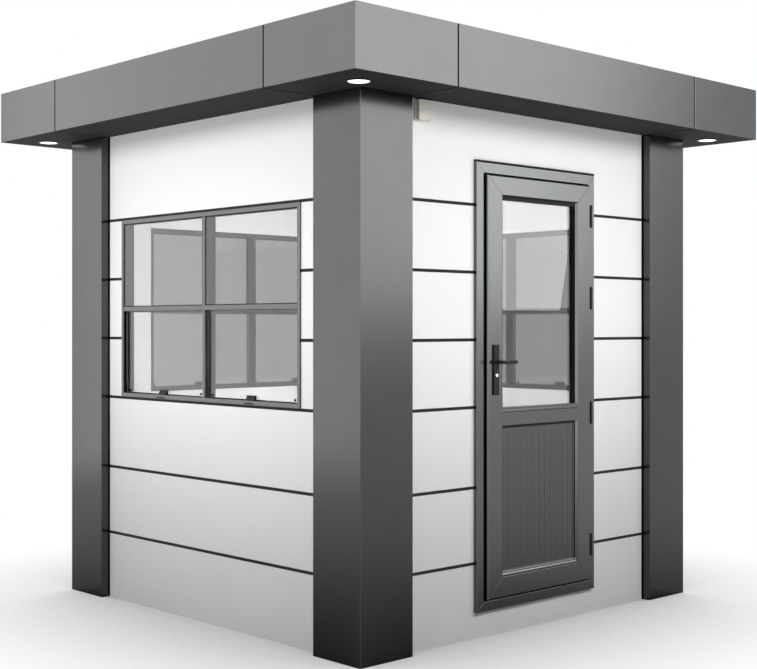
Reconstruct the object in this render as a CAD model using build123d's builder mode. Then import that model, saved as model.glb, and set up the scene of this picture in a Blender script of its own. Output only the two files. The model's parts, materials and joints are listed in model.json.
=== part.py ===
"""Security guard booth: four folded corner posts, sandwich panel walls, three windows with sliding
lower panes, one glazed door that opens outward, and a flat roof with a deep grey edge.

Millimetres. The origin is the middle of the footprint at ground level. +Z is up, the door is in the
front wall, which faces -Y, and +X is to the right of someone who faces the door from outside.
"""

import os

from build123d import *

# Body
body_size = 2300.0
post_width = 300.0
post_proud = 44.0
wall_thickness = 60.0
wall_height = 2388.0
arris_radius = 4.0

# Wall panels: heights of the joints' middles, from the ground
joint_heights = (338.0, 679.0, 1040.0, 1344.0, 1648.0, 1952.0)
joint_gap = 10.0
joint_recess = 6.0
post_joint_gap = 10.0
panel_chamfer = 1.5

# Floor
floor_top = 117.0
floor_thickness = 60.0
bearer_width = 90.0
bearer_wall_gap = 100.0
bearer_count = 3

# Roof edge
roof_overhang = 270.0
fascia_height = 262.0
fascia_thickness = 30.0
soffit_thickness = 12.0
roof_seam = 9.0
roof_seam_recess = 6.0
roof_edge_chamfer = 2.0
roof_deck_thickness = 150.0
roof_rib_height = 35.0
roof_rib_foot = 60.0
roof_rib_crest = 28.0
roof_rib_count = 11
roof_rib_end_gap = 40.0

# Downlights, one near each roof corner
light_inset = 182.0
light_trim_radius = 56.0
light_trim_thickness = 4.0
light_lens_radius = 45.0
light_lens_thickness = 8.0
light_lens_recess = 1.0
light_can_depth = 45.0
light_can_wall = 4.0
light_hole_clearance = 1.0

# Windows, one in each wall but the front: the upper panes are fixed, the lower ones slide
window_width = 1432.0
window_frame_face = 22.0
window_frame_depth = 60.0
window_frame_proud = 9.0
mullion_width = 20.0
mid_rail_bottom = 1482.0
mid_rail_height = 22.0
mid_rail_depth = 17.0
glass_thickness = 6.0
upper_glass_setback = 6.0
lower_glass_setback = 22.0
sash_rail_height = 24.0
sash_rail_depth = 12.0
sash_rail_setback = 20.0
sash_rail_overlap = 8.0
track_width = 19.0
track_lip = 3.0
track_depth = 12.0
catch_width = 44.0
catch_height = 27.0
catch_depth = 14.0

# Door frame
door_frame_width = 846.0
door_frame_bottom = 117.0
door_frame_top = 2148.0
door_frame_face = 46.0
door_frame_proud = 21.0
door_frame_chamfer = 2.0
door_head_seal = 6.0
door_stop_depth = 33.0
door_stop_width = 20.0

# Door leaf
leaf_side_gap = 8.0
leaf_top_gap = 6.0
leaf_bottom_gap = 7.0
leaf_back_gap = 6.0
leaf_proud = 18.0
leaf_chamfer = 7.0
leaf_stile = 93.0
leaf_top_rail = 93.0
leaf_bottom_rail = 94.0
mid_rail_low = 950.0
mid_rail_high = 1025.0
door_glass_setback = 34.0
door_glass_thickness = 6.0
door_panel_setback = 18.0
door_panel_thickness = 24.0
bead_width = 16.0
bead_setback = 6.0
bead_edge = 1.0
bead_slope = 9.0
panel_board_count = 12
board_groove = 7.0
board_groove_depth = 3.5
bead_groove = 5.0
bead_groove_depth = 2.5
bead_groove_from_joint = 19.0

# Hinges
hinge_heights = (340.0, 984.0, 1542.0, 1941.0)
hinge_length = 102.0
hinge_radius = 6.0
hinge_pin_radius = 3.0
hinge_pin_clearance = 0.3
hinge_gap = 0.3
hinge_plate = 1.5
hinge_plate_depth = 40.0
hinge_proud = 1.0

# Door handle
handle_inset = 49.0
handle_height = 1243.0
handle_plate_width = 36.0
handle_plate_below = 150.0
handle_plate_above = 79.0
handle_plate_thickness = 7.0
handle_plate_corner = 3.0
lever_neck_radius = 9.0
lever_length = 92.0
lever_height = 16.0
lever_thickness = 13.0
lever_projection = 50.0
lever_gap = 0.3
lever_rounding = 5.0
lever_edge_chamfer = 2.5
spindle_radius = 4.0
spindle_clearance = 2.0
key_below_lever = 60.0
key_radius = 8.5
key_proud = 3.0
key_clearance = 0.5

# Small box on the front wall, under the roof edge
sensor_width = 87.0
sensor_height = 94.0
sensor_depth = 31.0
sensor_from_post = 50.0
sensor_below_soffit = 4.0
sensor_rounding = 4.0

# Worked out from the sizes above
half_body = body_size / 2
wall_face = half_body - post_proud
wall_inner = wall_face - wall_thickness
post_edge = half_body - post_width
wall_half = post_edge - post_joint_gap
roof_half = half_body + roof_overhang
roof_top = wall_height + fascia_height
soffit_top = wall_height + soffit_thickness
light_place = roof_half - light_inset

bearer_span = 2 * (wall_inner - bearer_wall_gap) - bearer_width
deck_half = roof_half - fascia_thickness
deck_top = soffit_top + roof_deck_thickness

window_bottom = joint_heights[2] + joint_gap / 2
window_top = joint_heights[5] - joint_gap / 2
window_half = window_width / 2
pane_outer = window_half - window_frame_face
pane_width = pane_outer - mullion_width / 2
pane_middle = (pane_outer + mullion_width / 2) / 2
sill_top = window_bottom + window_frame_face
mid_rail_top = mid_rail_bottom + mid_rail_height
sash_rail_bottom = mid_rail_bottom + sash_rail_overlap - sash_rail_height

door_frame_half = door_frame_width / 2
doorway_half = door_frame_half - door_frame_face
doorway_bottom = door_frame_bottom + door_frame_face
doorway_top = door_frame_top - door_frame_face
leaf_half = doorway_half - leaf_side_gap
leaf_bottom = doorway_bottom + leaf_bottom_gap
leaf_top = doorway_top - leaf_top_gap
leaf_face = door_frame_proud + leaf_proud
leaf_back = leaf_back_gap + door_stop_depth - wall_thickness
leaf_opening_half = leaf_half - leaf_stile
door_glass_bottom = mid_rail_high
door_glass_top = leaf_top - leaf_top_rail
door_panel_bottom = leaf_bottom + leaf_bottom_rail
door_panel_top = mid_rail_low
hinge_x = leaf_half + leaf_side_gap / 2
hinge_w = leaf_face + hinge_proud
handle_x = -leaf_half + handle_inset
key_height = handle_height - key_below_lever

os.makedirs("parts", exist_ok=True)


def wall_plane(turn):
    """The outer face of a wall, turned from the front: x runs along it, y is up and z is outward."""
    outward = Vector(0, -1, 0).rotate(Axis.Z, turn)
    along = Vector(1, 0, 0).rotate(Axis.Z, turn)
    return Plane(origin=outward * wall_face, x_dir=along, z_dir=outward)


walls = {"front": wall_plane(0), "right": wall_plane(90), "back": wall_plane(180), "left": wall_plane(-90)}
corners = {"front_left": (-1, -1), "front_right": (1, -1), "back_left": (-1, 1), "back_right": (1, 1)}
light_places = [(sx * light_place, sy * light_place) for sx, sy in corners.values()]


def save(part, label):
    part.label = label
    export_step(part, f"parts/{label}.step")


def slab(plane, u_range, v_range, w_range):
    """A flat board on a wall: along the wall, up and outward, each from its low to its high value."""
    (u0, u1), (v0, v1), (w0, w1) = u_range, v_range, w_range
    with BuildSketch(plane.offset(w0)) as outline:
        with Locations(((u0 + u1) / 2, (v0 + v1) / 2)):
            Rectangle(u1 - u0, v1 - v0)
    extrude(outline.sketch, amount=w1 - w0)


def frame_ring(plane, outer, inner, w_range):
    """A flat ring on a wall between two outlines, each given as half width, bottom and top."""
    with BuildSketch(plane.offset(w_range[0])) as outline:
        for (half, bottom, top), how in ((outer, Mode.ADD), (inner, Mode.SUBTRACT)):
            with Locations((0, (bottom + top) / 2)):
                Rectangle(2 * half, top - bottom, mode=how)
    extrude(outline.sketch, amount=w_range[1] - w_range[0])


def face_edges(builder, plane, w=0.0):
    """The edges of a part's faces that lie in a wall's plane, moved outward by w."""
    in_plane = builder.faces().filter_by(lambda face: abs(plane.to_local_coords(face.center()).Z - w) < 0.01)
    return ShapeList(set(in_plane.edges()))


def panel_edges(builder, plane):
    """A wall's edges to break: those along its joints, and upright ones beside a post or a window."""

    def at_joint(edge):
        middle = plane.to_local_coords(edge.center())
        beside = min(abs(abs(middle.X) - wall_half), abs(abs(middle.X) - window_half)) < 0.01
        along = abs((plane.to_local_coords(edge @ 1) - plane.to_local_coords(edge @ 0)).Y) < 0.01
        return 0 < middle.Y < wall_height if along else beside

    return face_edges(builder, plane).filter_by(at_joint)


def rows(bottom, top):
    """The panel rows between two heights, each as its own low and high edge."""
    edges = [h for h in joint_heights if bottom < h < top]
    lows = [bottom] + [h + joint_gap / 2 for h in edges]
    highs = [h - joint_gap / 2 for h in edges] + [top]
    return list(zip(lows, highs))


# Floor: a deck between the walls, on bearers
with BuildPart() as floor_deck:
    with BuildSketch(Plane.XY.offset(floor_top - floor_thickness)):
        Rectangle(2 * wall_inner, 2 * wall_inner)
    extrude(amount=floor_thickness)
save(floor_deck.part, "floor_deck")

with BuildPart() as floor_bearers:
    with BuildSketch(Plane.XY):
        with GridLocations(bearer_span / (bearer_count - 1), 0, bearer_count, 1):
            Rectangle(bearer_width, 2 * wall_inner)
    extrude(amount=floor_top - floor_thickness)
save(floor_bearers.part, "floor_bearers")

# Corner posts: folded angles that stand proud of the walls, and are as deep as the walls inside
for name, (sx, sy) in corners.items():
    with BuildPart() as post:
        with BuildSketch(Plane.XY):
            with BuildLine():
                Polyline(
                    (sx * half_body, sy * half_body),
                    (sx * post_edge, sy * half_body),
                    (sx * post_edge, sy * wall_inner),
                    (sx * wall_inner, sy * wall_inner),
                    (sx * wall_inner, sy * post_edge),
                    (sx * half_body, sy * post_edge),
                    close=True,
                )
            make_face()
        extrude(amount=wall_height)
        outer_arris = post.edges().filter_by(Axis.Z).sort_by_distance((sx * half_body, sy * half_body, 0))[0]
        fillet(outer_arris, arris_radius)
    save(post.part, f"corner_post_{name}")

# Front wall: rows beside the door, and the boards over and under it
for name, (u0, u1) in {"left": (-wall_half, -door_frame_half), "right": (door_frame_half, wall_half)}.items():
    with BuildPart() as side_wall:
        for row in rows(0, wall_height):
            slab(walls["front"], (u0, u1), row, (-wall_thickness, 0))
        chamfer(panel_edges(side_wall, walls["front"]), panel_chamfer)
    save(side_wall.part, f"front_wall_{name}")

with BuildPart() as over_door:
    slab(
        walls["front"],
        (-door_frame_half, door_frame_half),
        (door_frame_top + door_head_seal, wall_height),
        (-wall_thickness, 0),
    )
save(over_door.part, "front_wall_over_door")

with BuildPart() as under_door:
    slab(walls["front"], (-door_frame_half, door_frame_half), (0, door_frame_bottom), (-wall_thickness, 0))
save(under_door.part, "front_wall_under_door")

# The other walls: rows below, beside and over the window
for name in ("left", "back", "right"):
    with BuildPart() as wall:
        for row in rows(0, window_bottom - joint_gap) + rows(window_top + joint_gap, wall_height):
            slab(walls[name], (-wall_half, wall_half), row, (-wall_thickness, 0))
        for row in rows(window_bottom, window_top):
            for u0, u1 in ((-wall_half, -window_half), (window_half, wall_half)):
                slab(walls[name], (u0, u1), row, (-wall_thickness, 0))
        chamfer(panel_edges(wall, walls[name]), panel_chamfer)
    save(wall.part, f"{name}_wall")

# Black strips that close the joints between the rows and beside the posts, set back from the face
with BuildPart() as wall_joint_strips:
    for name, plane in walls.items():
        for run in ((-post_edge, -wall_half), (wall_half, post_edge)):
            slab(plane, run, (0, wall_height), (-wall_thickness, -joint_recess))
        for height in joint_heights:
            if name == "front":
                runs = ((-wall_half, -door_frame_half), (door_frame_half, wall_half))
            elif window_bottom < height < window_top:
                runs = ((-wall_half, -window_half), (window_half, wall_half))
            else:
                runs = ((-wall_half, wall_half),)
            for run in runs:
                edges = (height - joint_gap / 2, height + joint_gap / 2)
                slab(plane, run, edges, (-wall_thickness, -joint_recess))
    slab(
        walls["front"],
        (-door_frame_half, door_frame_half),
        (door_frame_top, door_frame_top + door_head_seal),
        (-wall_thickness, door_frame_proud),
    )
save(wall_joint_strips.part, "wall_joint_strips")

# Windows
upper_glass_w = window_frame_proud - upper_glass_setback - glass_thickness
lower_glass_w = window_frame_proud - lower_glass_setback - glass_thickness
sash_rail_w = window_frame_proud - sash_rail_setback
track_w = window_frame_proud - track_lip

for name in ("left", "back", "right"):
    plane = walls[name]
    with BuildPart() as window_frame:
        frame_ring(
            plane,
            (window_half, window_bottom, window_top),
            (pane_outer, sill_top, window_top - window_frame_face),
            (window_frame_proud - window_frame_depth, window_frame_proud),
        )
        slab(
            plane,
            (-mullion_width / 2, mullion_width / 2),
            (sill_top, window_top - window_frame_face),
            (window_frame_proud - window_frame_depth, window_frame_proud),
        )
        slab(
            plane,
            (-pane_outer, pane_outer),
            (mid_rail_bottom, mid_rail_top),
            (window_frame_proud - mid_rail_depth, window_frame_proud),
        )
        # Tracks in the outer jambs, in front of the sliding panes
        with BuildSketch(plane.offset(track_w - track_width)):
            for side in (-1, 1):
                with Locations((side * (pane_outer + track_depth / 2), (sill_top + mid_rail_bottom) / 2)):
                    Rectangle(track_depth, mid_rail_bottom - sill_top)
        extrude(amount=track_width, mode=Mode.SUBTRACT)
    save(window_frame.part, f"window_frame_{name}")

    with BuildPart() as window_glass:
        for side in (-1, 1):
            pane = (side * pane_middle - pane_width / 2, side * pane_middle + pane_width / 2)
            upper = (mid_rail_top, window_top - window_frame_face)
            lower = (sill_top, sash_rail_bottom)
            slab(plane, pane, upper, (upper_glass_w, upper_glass_w + glass_thickness))
            slab(plane, pane, lower, (lower_glass_w, lower_glass_w + glass_thickness))
    save(window_glass.part, f"window_glass_{name}")

with BuildPart() as sash_rails:
    for name in ("left", "back", "right"):
        for side in (-1, 1):
            pane = (side * pane_middle - pane_width / 2, side * pane_middle + pane_width / 2)
            height = (sash_rail_bottom, sash_rail_bottom + sash_rail_height)
            slab(walls[name], pane, height, (sash_rail_w - sash_rail_depth, sash_rail_w))
save(sash_rails.part, "window_sash_rails")

with BuildPart() as window_catches:
    for name in ("left", "back", "right"):
        for side in (-1, 1):
            middle = side * pane_middle
            front = lower_glass_w + glass_thickness
            slab(
                walls[name],
                (middle - catch_width / 2, middle + catch_width / 2),
                (sill_top, sill_top + catch_height),
                (front, front + catch_depth),
            )
save(window_catches.part, "window_catches")

# Door frame: a ring with a stop behind the leaf
front = walls["front"]
stop_face = door_stop_depth - wall_thickness
frame_middle = (door_frame_bottom + door_frame_top) / 2
frame_rise = (door_frame_top - door_frame_bottom) / 2


def on_frame_outline(edge):
    """Whether an edge lies on the door frame's outer outline."""
    middle = edge.center()
    return max(abs(middle.X) - door_frame_half, abs(middle.Z - frame_middle) - frame_rise) > -0.01


with BuildPart() as door_frame:
    frame_ring(
        front,
        (door_frame_half, door_frame_bottom, door_frame_top),
        (doorway_half, doorway_bottom, doorway_top),
        (stop_face, door_frame_proud),
    )
    frame_ring(
        front,
        (door_frame_half, door_frame_bottom, door_frame_top),
        (doorway_half - door_stop_width, doorway_bottom + door_stop_width, doorway_top - door_stop_width),
        (-wall_thickness, stop_face),
    )
    chamfer(face_edges(door_frame, front, door_frame_proud).filter_by(on_frame_outline), door_frame_chamfer)
save(door_frame.part, "door_frame")

# Door leaf: stiles and rails in one, with a glass opening over a panel opening
glass_opening = (leaf_opening_half, door_glass_bottom, door_glass_top)
panel_opening = (leaf_opening_half, door_panel_bottom, door_panel_top)
with BuildPart() as door_leaf:
    slab(front, (-leaf_half, leaf_half), (leaf_bottom, leaf_top), (leaf_back, leaf_face))
    chamfer(face_edges(door_leaf, front, leaf_face), leaf_chamfer)
    with BuildSketch(front.offset(leaf_back)):
        for half, bottom, top in (glass_opening, panel_opening):
            with Locations((0, (bottom + top) / 2)):
                Rectangle(2 * half, top - bottom)
        with Locations((handle_x, handle_height)):
            Circle(spindle_radius + spindle_clearance)
    extrude(amount=leaf_face - leaf_back, mode=Mode.SUBTRACT)
save(door_leaf.part, "door_leaf")

glass_w = leaf_face - door_glass_setback
with BuildPart() as door_glass:
    slab(
        front,
        (-leaf_opening_half, leaf_opening_half),
        (door_glass_bottom, door_glass_top),
        (glass_w - door_glass_thickness, glass_w),
    )
save(door_glass.part, "door_glass")

# Lower panel: upright beaded boards, with V grooves at their joints and along their beads, on both faces
panel_w = leaf_face - door_panel_setback
board_width = 2 * (leaf_opening_half - bead_width) / panel_board_count
with BuildPart() as door_panel:
    slab(
        front,
        (-leaf_opening_half, leaf_opening_half),
        (door_panel_bottom, door_panel_top),
        (panel_w - door_panel_thickness, panel_w),
    )
    with BuildSketch(Plane.XY.offset(door_panel_bottom)):
        for w, into in ((panel_w, 1), (panel_w - door_panel_thickness, -1)):
            for shift, count, width, depth in (
                (0, panel_board_count + 1, board_groove, board_groove_depth),
                (bead_groove_from_joint - board_width / 2, panel_board_count, bead_groove, bead_groove_depth),
            ):
                with Locations((shift, -wall_face - w)):
                    with GridLocations(board_width, 0, count, 1):
                        Polygon((-width / 2, 0), (width / 2, 0), (0, into * depth), align=None)
    extrude(amount=door_panel_top - door_panel_bottom, mode=Mode.SUBTRACT)
save(door_panel.part, "door_panel")

# Sloped beads round the glass and the panel, outside and inside
with BuildPart() as door_beads:
    for (half, bottom, top), outside, inside in (
        (glass_opening, glass_w, glass_w - door_glass_thickness),
        (panel_opening, panel_w, panel_w - door_panel_thickness),
    ):
        narrow = (half - bead_width, bottom + bead_width, top - bead_width)
        wide = (half - bead_edge, bottom + bead_edge, top - bead_edge)
        for seat, edge in ((outside, leaf_face - bead_setback), (inside, leaf_back + bead_setback)):
            slope_end = edge - bead_slope if edge > seat else edge + bead_slope
            frame_ring(front, (half, bottom, top), narrow, (min(seat, edge), max(seat, edge)))
            for w, (rim_half, rim_bottom, rim_top) in ((edge, wide), (slope_end, narrow)):
                with BuildSketch(front.offset(w)):
                    with Locations((0, (rim_bottom + rim_top) / 2)):
                        Rectangle(2 * rim_half, rim_top - rim_bottom)
            loft(mode=Mode.SUBTRACT)
save(door_beads.part, "door_beads")


def hinge_round(low, length, radius, mode=Mode.ADD):
    """A round length on the hinge line: a barrel, a pin or a bore."""
    with BuildSketch(Plane.XY.offset(low)) as outline:
        with Locations((hinge_x, -wall_face - hinge_w)):
            Circle(radius)
    extrude(outline.sketch, amount=length, mode=mode)


# Hinges: the lower barrel and its pin belong to the frame, the upper barrel to the leaf
half_hinge = hinge_length / 2
with BuildPart() as hinge_frame_sides:
    for height in hinge_heights:
        foot = height - half_hinge
        plate = (doorway_half - hinge_plate, doorway_half)
        sunk = (door_frame_proud - hinge_plate_depth, door_frame_proud)
        slab(front, plate, (foot, foot + hinge_length), sunk)
        slab(front, plate, (foot, foot + half_hinge), (door_frame_proud, hinge_w))
        hinge_round(foot, half_hinge, hinge_radius)
        hinge_round(height, half_hinge, hinge_pin_radius)
save(hinge_frame_sides.part, "hinge_frame_sides")

with BuildPart() as hinge_leaf_sides:
    for height in hinge_heights:
        foot = height - half_hinge
        plate = (leaf_half, leaf_half + hinge_plate)
        plate_top = leaf_face - leaf_chamfer
        slab(front, plate, (foot, foot + hinge_length), (plate_top - hinge_plate_depth, plate_top))
        upper = (foot + half_hinge + hinge_gap, foot + hinge_length)
        slab(front, plate, upper, (plate_top, hinge_w))
        hinge_round(upper[0], upper[1] - upper[0], hinge_radius)
        hinge_round(height, hinge_length, hinge_pin_radius + hinge_pin_clearance, Mode.SUBTRACT)
save(hinge_leaf_sides.part, "hinge_leaf_sides")

# Handle plates on both faces of the leaf, with holes for the spindle and the lock cylinder
plate_middle = (handle_x, handle_height + (handle_plate_above - handle_plate_below) / 2)
plate_height = handle_plate_above + handle_plate_below
with BuildPart() as handle_plates:
    for w in (leaf_face, leaf_back - handle_plate_thickness):
        with BuildSketch(front.offset(w)):
            with Locations(plate_middle):
                RectangleRounded(handle_plate_width, plate_height, handle_plate_corner)
            with Locations((handle_x, handle_height)):
                Circle(spindle_radius + spindle_clearance, mode=Mode.SUBTRACT)
            with Locations((handle_x, key_height)):
                Circle(key_radius + key_clearance, mode=Mode.SUBTRACT)
        extrude(amount=handle_plate_thickness)
save(handle_plates.part, "handle_plates")

with BuildPart() as lock_cylinders:
    for w in (leaf_face, leaf_back - handle_plate_thickness - key_proud):
        with BuildSketch(front.offset(w)):
            with Locations((handle_x, key_height)):
                Circle(key_radius)
        extrude(amount=handle_plate_thickness + key_proud)
save(lock_cylinders.part, "lock_cylinders")

# Levers on one spindle through the leaf, both pointing to the hinges
with BuildPart() as door_lever:
    outside = leaf_face + handle_plate_thickness + lever_gap
    inside = leaf_back - handle_plate_thickness - lever_gap
    with BuildSketch(front.offset(inside)):
        with Locations((handle_x, handle_height)):
            Circle(spindle_radius)
    extrude(amount=outside - inside)
    for base, away in ((outside, 1), (inside, -1)):
        grip = base + away * (lever_projection - lever_thickness)
        with BuildSketch(front.offset(base)):
            with Locations((handle_x, handle_height)):
                Circle(lever_neck_radius)
        extrude(amount=away * (lever_projection - lever_thickness))
        with BuildSketch(front.offset(grip)):
            with Locations((handle_x + lever_length / 2 - lever_neck_radius / 2, handle_height)):
                RectangleRounded(lever_length + lever_neck_radius, lever_height, lever_rounding)
        extrude(amount=away * lever_thickness)
        chamfer(face_edges(door_lever, front, grip + away * lever_thickness), lever_edge_chamfer)
save(door_lever.part, "door_lever")

# Small box under the roof edge
with BuildPart() as sensor_box:
    left = -post_edge + sensor_from_post
    top = wall_height - sensor_below_soffit
    slab(front, (left, left + sensor_width), (top - sensor_height, top), (0, sensor_depth))
    fillet(sensor_box.faces().sort_by(Axis.Y)[0].edges(), sensor_rounding)
save(sensor_box.part, "sensor_box")


def light_holes(low, depth):
    """Round holes for the downlights' cans, up from one height."""
    with BuildSketch(Plane.XY.offset(low)) as outline:
        with Locations(*light_places):
            Circle(light_lens_radius + light_can_wall + light_hole_clearance)
    extrude(outline.sketch, amount=depth, mode=Mode.SUBTRACT)


# Roof edge: folded units of fascia and soffit, four at the corners and one along each side
seam_line = post_edge + roof_seam / 2
with BuildPart() as roof_edge_corners:
    for sx, sy in corners.values():
        for reach, height in ((roof_half - fascia_thickness, fascia_height), (wall_inner, soffit_thickness)):
            with BuildSketch(Plane.XY.offset(wall_height)):
                with BuildLine():
                    Polyline(
                        (sx * roof_half, sy * roof_half),
                        (sx * seam_line, sy * roof_half),
                        (sx * seam_line, sy * reach),
                        (sx * reach, sy * reach),
                        (sx * reach, sy * seam_line),
                        (sx * roof_half, sy * seam_line),
                        close=True,
                    )
                make_face()
            extrude(amount=height)
    light_holes(wall_height, soffit_thickness)
    outer_edges = set()
    for plane in walls.values():
        outer_edges.update(face_edges(roof_edge_corners, plane, roof_half - wall_face))
    chamfer(outer_edges, roof_edge_chamfer)
save(roof_edge_corners.part, "roof_edge_corners")

for name, plane in walls.items():
    with BuildPart() as roof_edge:
        run = (-post_edge + roof_seam / 2, post_edge - roof_seam / 2)
        face = roof_half - wall_face
        slab(plane, run, (wall_height, roof_top), (face - fascia_thickness, face))
        slab(plane, run, (wall_height, soffit_top), (-wall_thickness, face))
        chamfer(face_edges(roof_edge, plane, face), roof_edge_chamfer)
    save(roof_edge.part, f"roof_edge_{name}")

# Black strips in the seams between the roof edge units, set back from the faces
with BuildPart() as roof_joint_strips:
    for plane in walls.values():
        for side in (-1, 1):
            run = (side * post_edge - roof_seam / 2, side * post_edge + roof_seam / 2)
            face = roof_half - wall_face - roof_seam_recess
            low = wall_height + roof_seam_recess
            slab(plane, run, (low, roof_top), (roof_half - wall_face - fascia_thickness, face))
            slab(plane, run, (low, soffit_top), (-wall_thickness, face))
save(roof_joint_strips.part, "roof_joint_strips")

# Ribbed roof deck inside the fascia, and the ceiling under it
with BuildPart() as roof_deck:
    with BuildSketch(Plane.XY.offset(soffit_top)):
        Rectangle(2 * deck_half, 2 * deck_half)
    extrude(amount=roof_deck_thickness)
    light_holes(soffit_top, light_can_depth)
    with BuildSketch(Plane.XZ.offset(roof_rib_end_gap - deck_half)):
        with Locations((0, deck_top)):
            with GridLocations(2 * deck_half / roof_rib_count, 0, roof_rib_count, 1):
                Polygon(
                    (-roof_rib_foot / 2, 0),
                    (roof_rib_foot / 2, 0),
                    (roof_rib_crest / 2, roof_rib_height),
                    (-roof_rib_crest / 2, roof_rib_height),
                    align=None,
                )
    extrude(amount=2 * (deck_half - roof_rib_end_gap))
save(roof_deck.part, "roof_deck")

with BuildPart() as ceiling:
    with BuildSketch(Plane.XY.offset(wall_height)):
        Rectangle(2 * wall_inner, 2 * wall_inner)
    extrude(amount=soffit_thickness)
save(ceiling.part, "ceiling")

# Downlights: a can with a trim ring under the soffit, and a lens in its mouth
with BuildPart() as downlight_cans:
    for low, radius, height in (
        (wall_height - light_trim_thickness, light_trim_radius, light_trim_thickness),
        (wall_height, light_lens_radius + light_can_wall, light_can_depth),
    ):
        with BuildSketch(Plane.XY.offset(low)):
            with Locations(*light_places):
                Circle(radius)
                Circle(light_lens_radius, mode=Mode.SUBTRACT)
        extrude(amount=height)
save(downlight_cans.part, "downlight_cans")

with BuildPart() as downlight_lenses:
    with BuildSketch(Plane.XY.offset(wall_height - light_trim_thickness + light_lens_recess)):
        with Locations(*light_places):
            Circle(light_lens_radius)
    extrude(amount=light_lens_thickness)
save(downlight_lenses.part, "downlight_lenses")
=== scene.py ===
# %% [markdown]
# # A security guard booth
# A guard booth is a small steel building that stands at a gate. Four folded corner posts carry a flat
# roof with a deep edge, white insulated panels fill the walls between them, and there is a window in
# every wall but the front, which has the door. The construction comes in as a fixed frame, at its real
# size in metres. This lesson gives every surface its finish and adds what is too fine for the frame.

# %% Load the frame
import json
import math

import bmesh
import bpy
from mathutils import Matrix, Vector


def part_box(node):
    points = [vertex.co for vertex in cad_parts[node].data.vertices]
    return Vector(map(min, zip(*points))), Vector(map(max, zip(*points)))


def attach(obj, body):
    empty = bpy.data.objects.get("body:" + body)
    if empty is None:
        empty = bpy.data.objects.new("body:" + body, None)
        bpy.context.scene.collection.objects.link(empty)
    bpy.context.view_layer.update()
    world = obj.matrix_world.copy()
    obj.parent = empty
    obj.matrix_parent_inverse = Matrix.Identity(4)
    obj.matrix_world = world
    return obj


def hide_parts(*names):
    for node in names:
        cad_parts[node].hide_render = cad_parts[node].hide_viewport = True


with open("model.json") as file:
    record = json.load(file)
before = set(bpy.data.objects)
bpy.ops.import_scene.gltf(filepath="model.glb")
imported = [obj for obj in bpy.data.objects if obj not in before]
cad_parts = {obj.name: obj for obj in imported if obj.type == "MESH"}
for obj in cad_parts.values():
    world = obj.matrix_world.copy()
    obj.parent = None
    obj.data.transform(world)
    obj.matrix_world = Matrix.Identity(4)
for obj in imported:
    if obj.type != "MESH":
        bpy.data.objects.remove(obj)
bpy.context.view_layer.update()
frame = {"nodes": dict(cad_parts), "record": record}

nodes = frame["nodes"]

# %% [markdown]
# ## The camera
# A product picture of a building is taken level, so that upright edges stay upright, and from the
# height of a person's eyes. A level camera sees the roof above the middle of the picture, so the lens
# is shifted instead of tilted.

# %% The camera
def linked(name, data):
    """A new object for a camera, a mesh or a lamp, in the scene."""
    thing = bpy.data.objects.new(name, data)
    bpy.context.scene.collection.objects.link(thing)
    return thing


turn_from_north = 43.452
camera_data = bpy.data.cameras.new("camera")
camera_data.sensor_fit = "HORIZONTAL"
camera_data.sensor_width = 36.0
camera_data.lens = 63.545
camera_data.shift_x = -0.01699
camera_data.shift_y = -0.01114
camera = linked("camera", camera_data)
camera.location = (-4.823, -5.212, 1.406)
camera.rotation_euler = (math.radians(90), 0, math.radians(-turn_from_north))
bpy.context.scene.camera = camera
bpy.context.scene.view_settings.view_transform = "Standard"
print("lens", camera_data.lens, "mm, eye height", round(camera.location.z, 3), "m")

# %% [markdown]
# ## Ways to write a finish
# A finish is a small tree of nodes. A few helpers keep each one readable: they make an empty material,
# add a node, feed its inputs with numbers, colours or other nodes' outputs, and give the few patterns
# and sums that every finish here needs.

# %% Helpers for node materials
def new_material(name):
    """An empty node material with its output node."""
    material = bpy.data.materials.new(name)
    material.use_nodes = True
    tree = material.node_tree
    tree.nodes.clear()
    return material, tree, add(tree, "OutputMaterial")


def add(tree, kind, **settings):
    """Adds a node; settings are its own options, such as operation or data_type."""
    node = tree.nodes.new("ShaderNode" + kind)
    for key, value in settings.items():
        setattr(node, key, value)
    return node


def feed(node, values):
    """Gives a node's inputs a number, a colour of three shares, or another node's output."""
    for name, value in values.items():
        target = node.inputs[name]
        if isinstance(value, bpy.types.NodeSocket):
            node.id_data.links.new(value, target)
        else:
            target.default_value = (*value, 1) if isinstance(value, tuple) else value


def maths(tree, operation, *values):
    """A sum on sockets or numbers."""
    node = add(tree, "Math", operation=operation)
    feed(node, dict(enumerate(values)))
    return node.outputs["Value"]


def blend(tree, kind, share, first, second, way="MIX"):
    """first where share is 0 and second where it is 1; kind is FLOAT for numbers, RGBA for colours."""
    node = add(tree, "Mix", data_type=kind, blend_type=way)
    feed(node, {"Factor": share, "A": first, "B": second})
    return node.outputs["Result"]


def tinted(tree, colour, value):
    """A colour, fixed or from a node, times a value that changes over the surface."""
    return blend(tree, "RGBA", 1.0, colour, value, "MULTIPLY")


# %% Patterns that are fixed to the piece
def coordinate(tree, axis):
    """The place along one axis, in metres."""
    parts = add(tree, "SeparateXYZ")
    feed(parts, {"Vector": add(tree, "TexCoord").outputs["Object"]})
    return parts.outputs[axis]


def noise(tree, grain, detail, stretch=(1, 1, 1)):
    """A noise whose blotches are about one grain wide, in metres."""
    scale = add(tree, "Mapping")
    scale.inputs["Scale"].default_value = stretch
    feed(scale, {"Vector": add(tree, "TexCoord").outputs["Object"]})
    pattern = add(tree, "TexNoise")
    feed(pattern, {"Vector": scale.outputs["Vector"], "Scale": 1.0 / grain, "Detail": detail})
    return pattern.outputs["Fac"]


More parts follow.
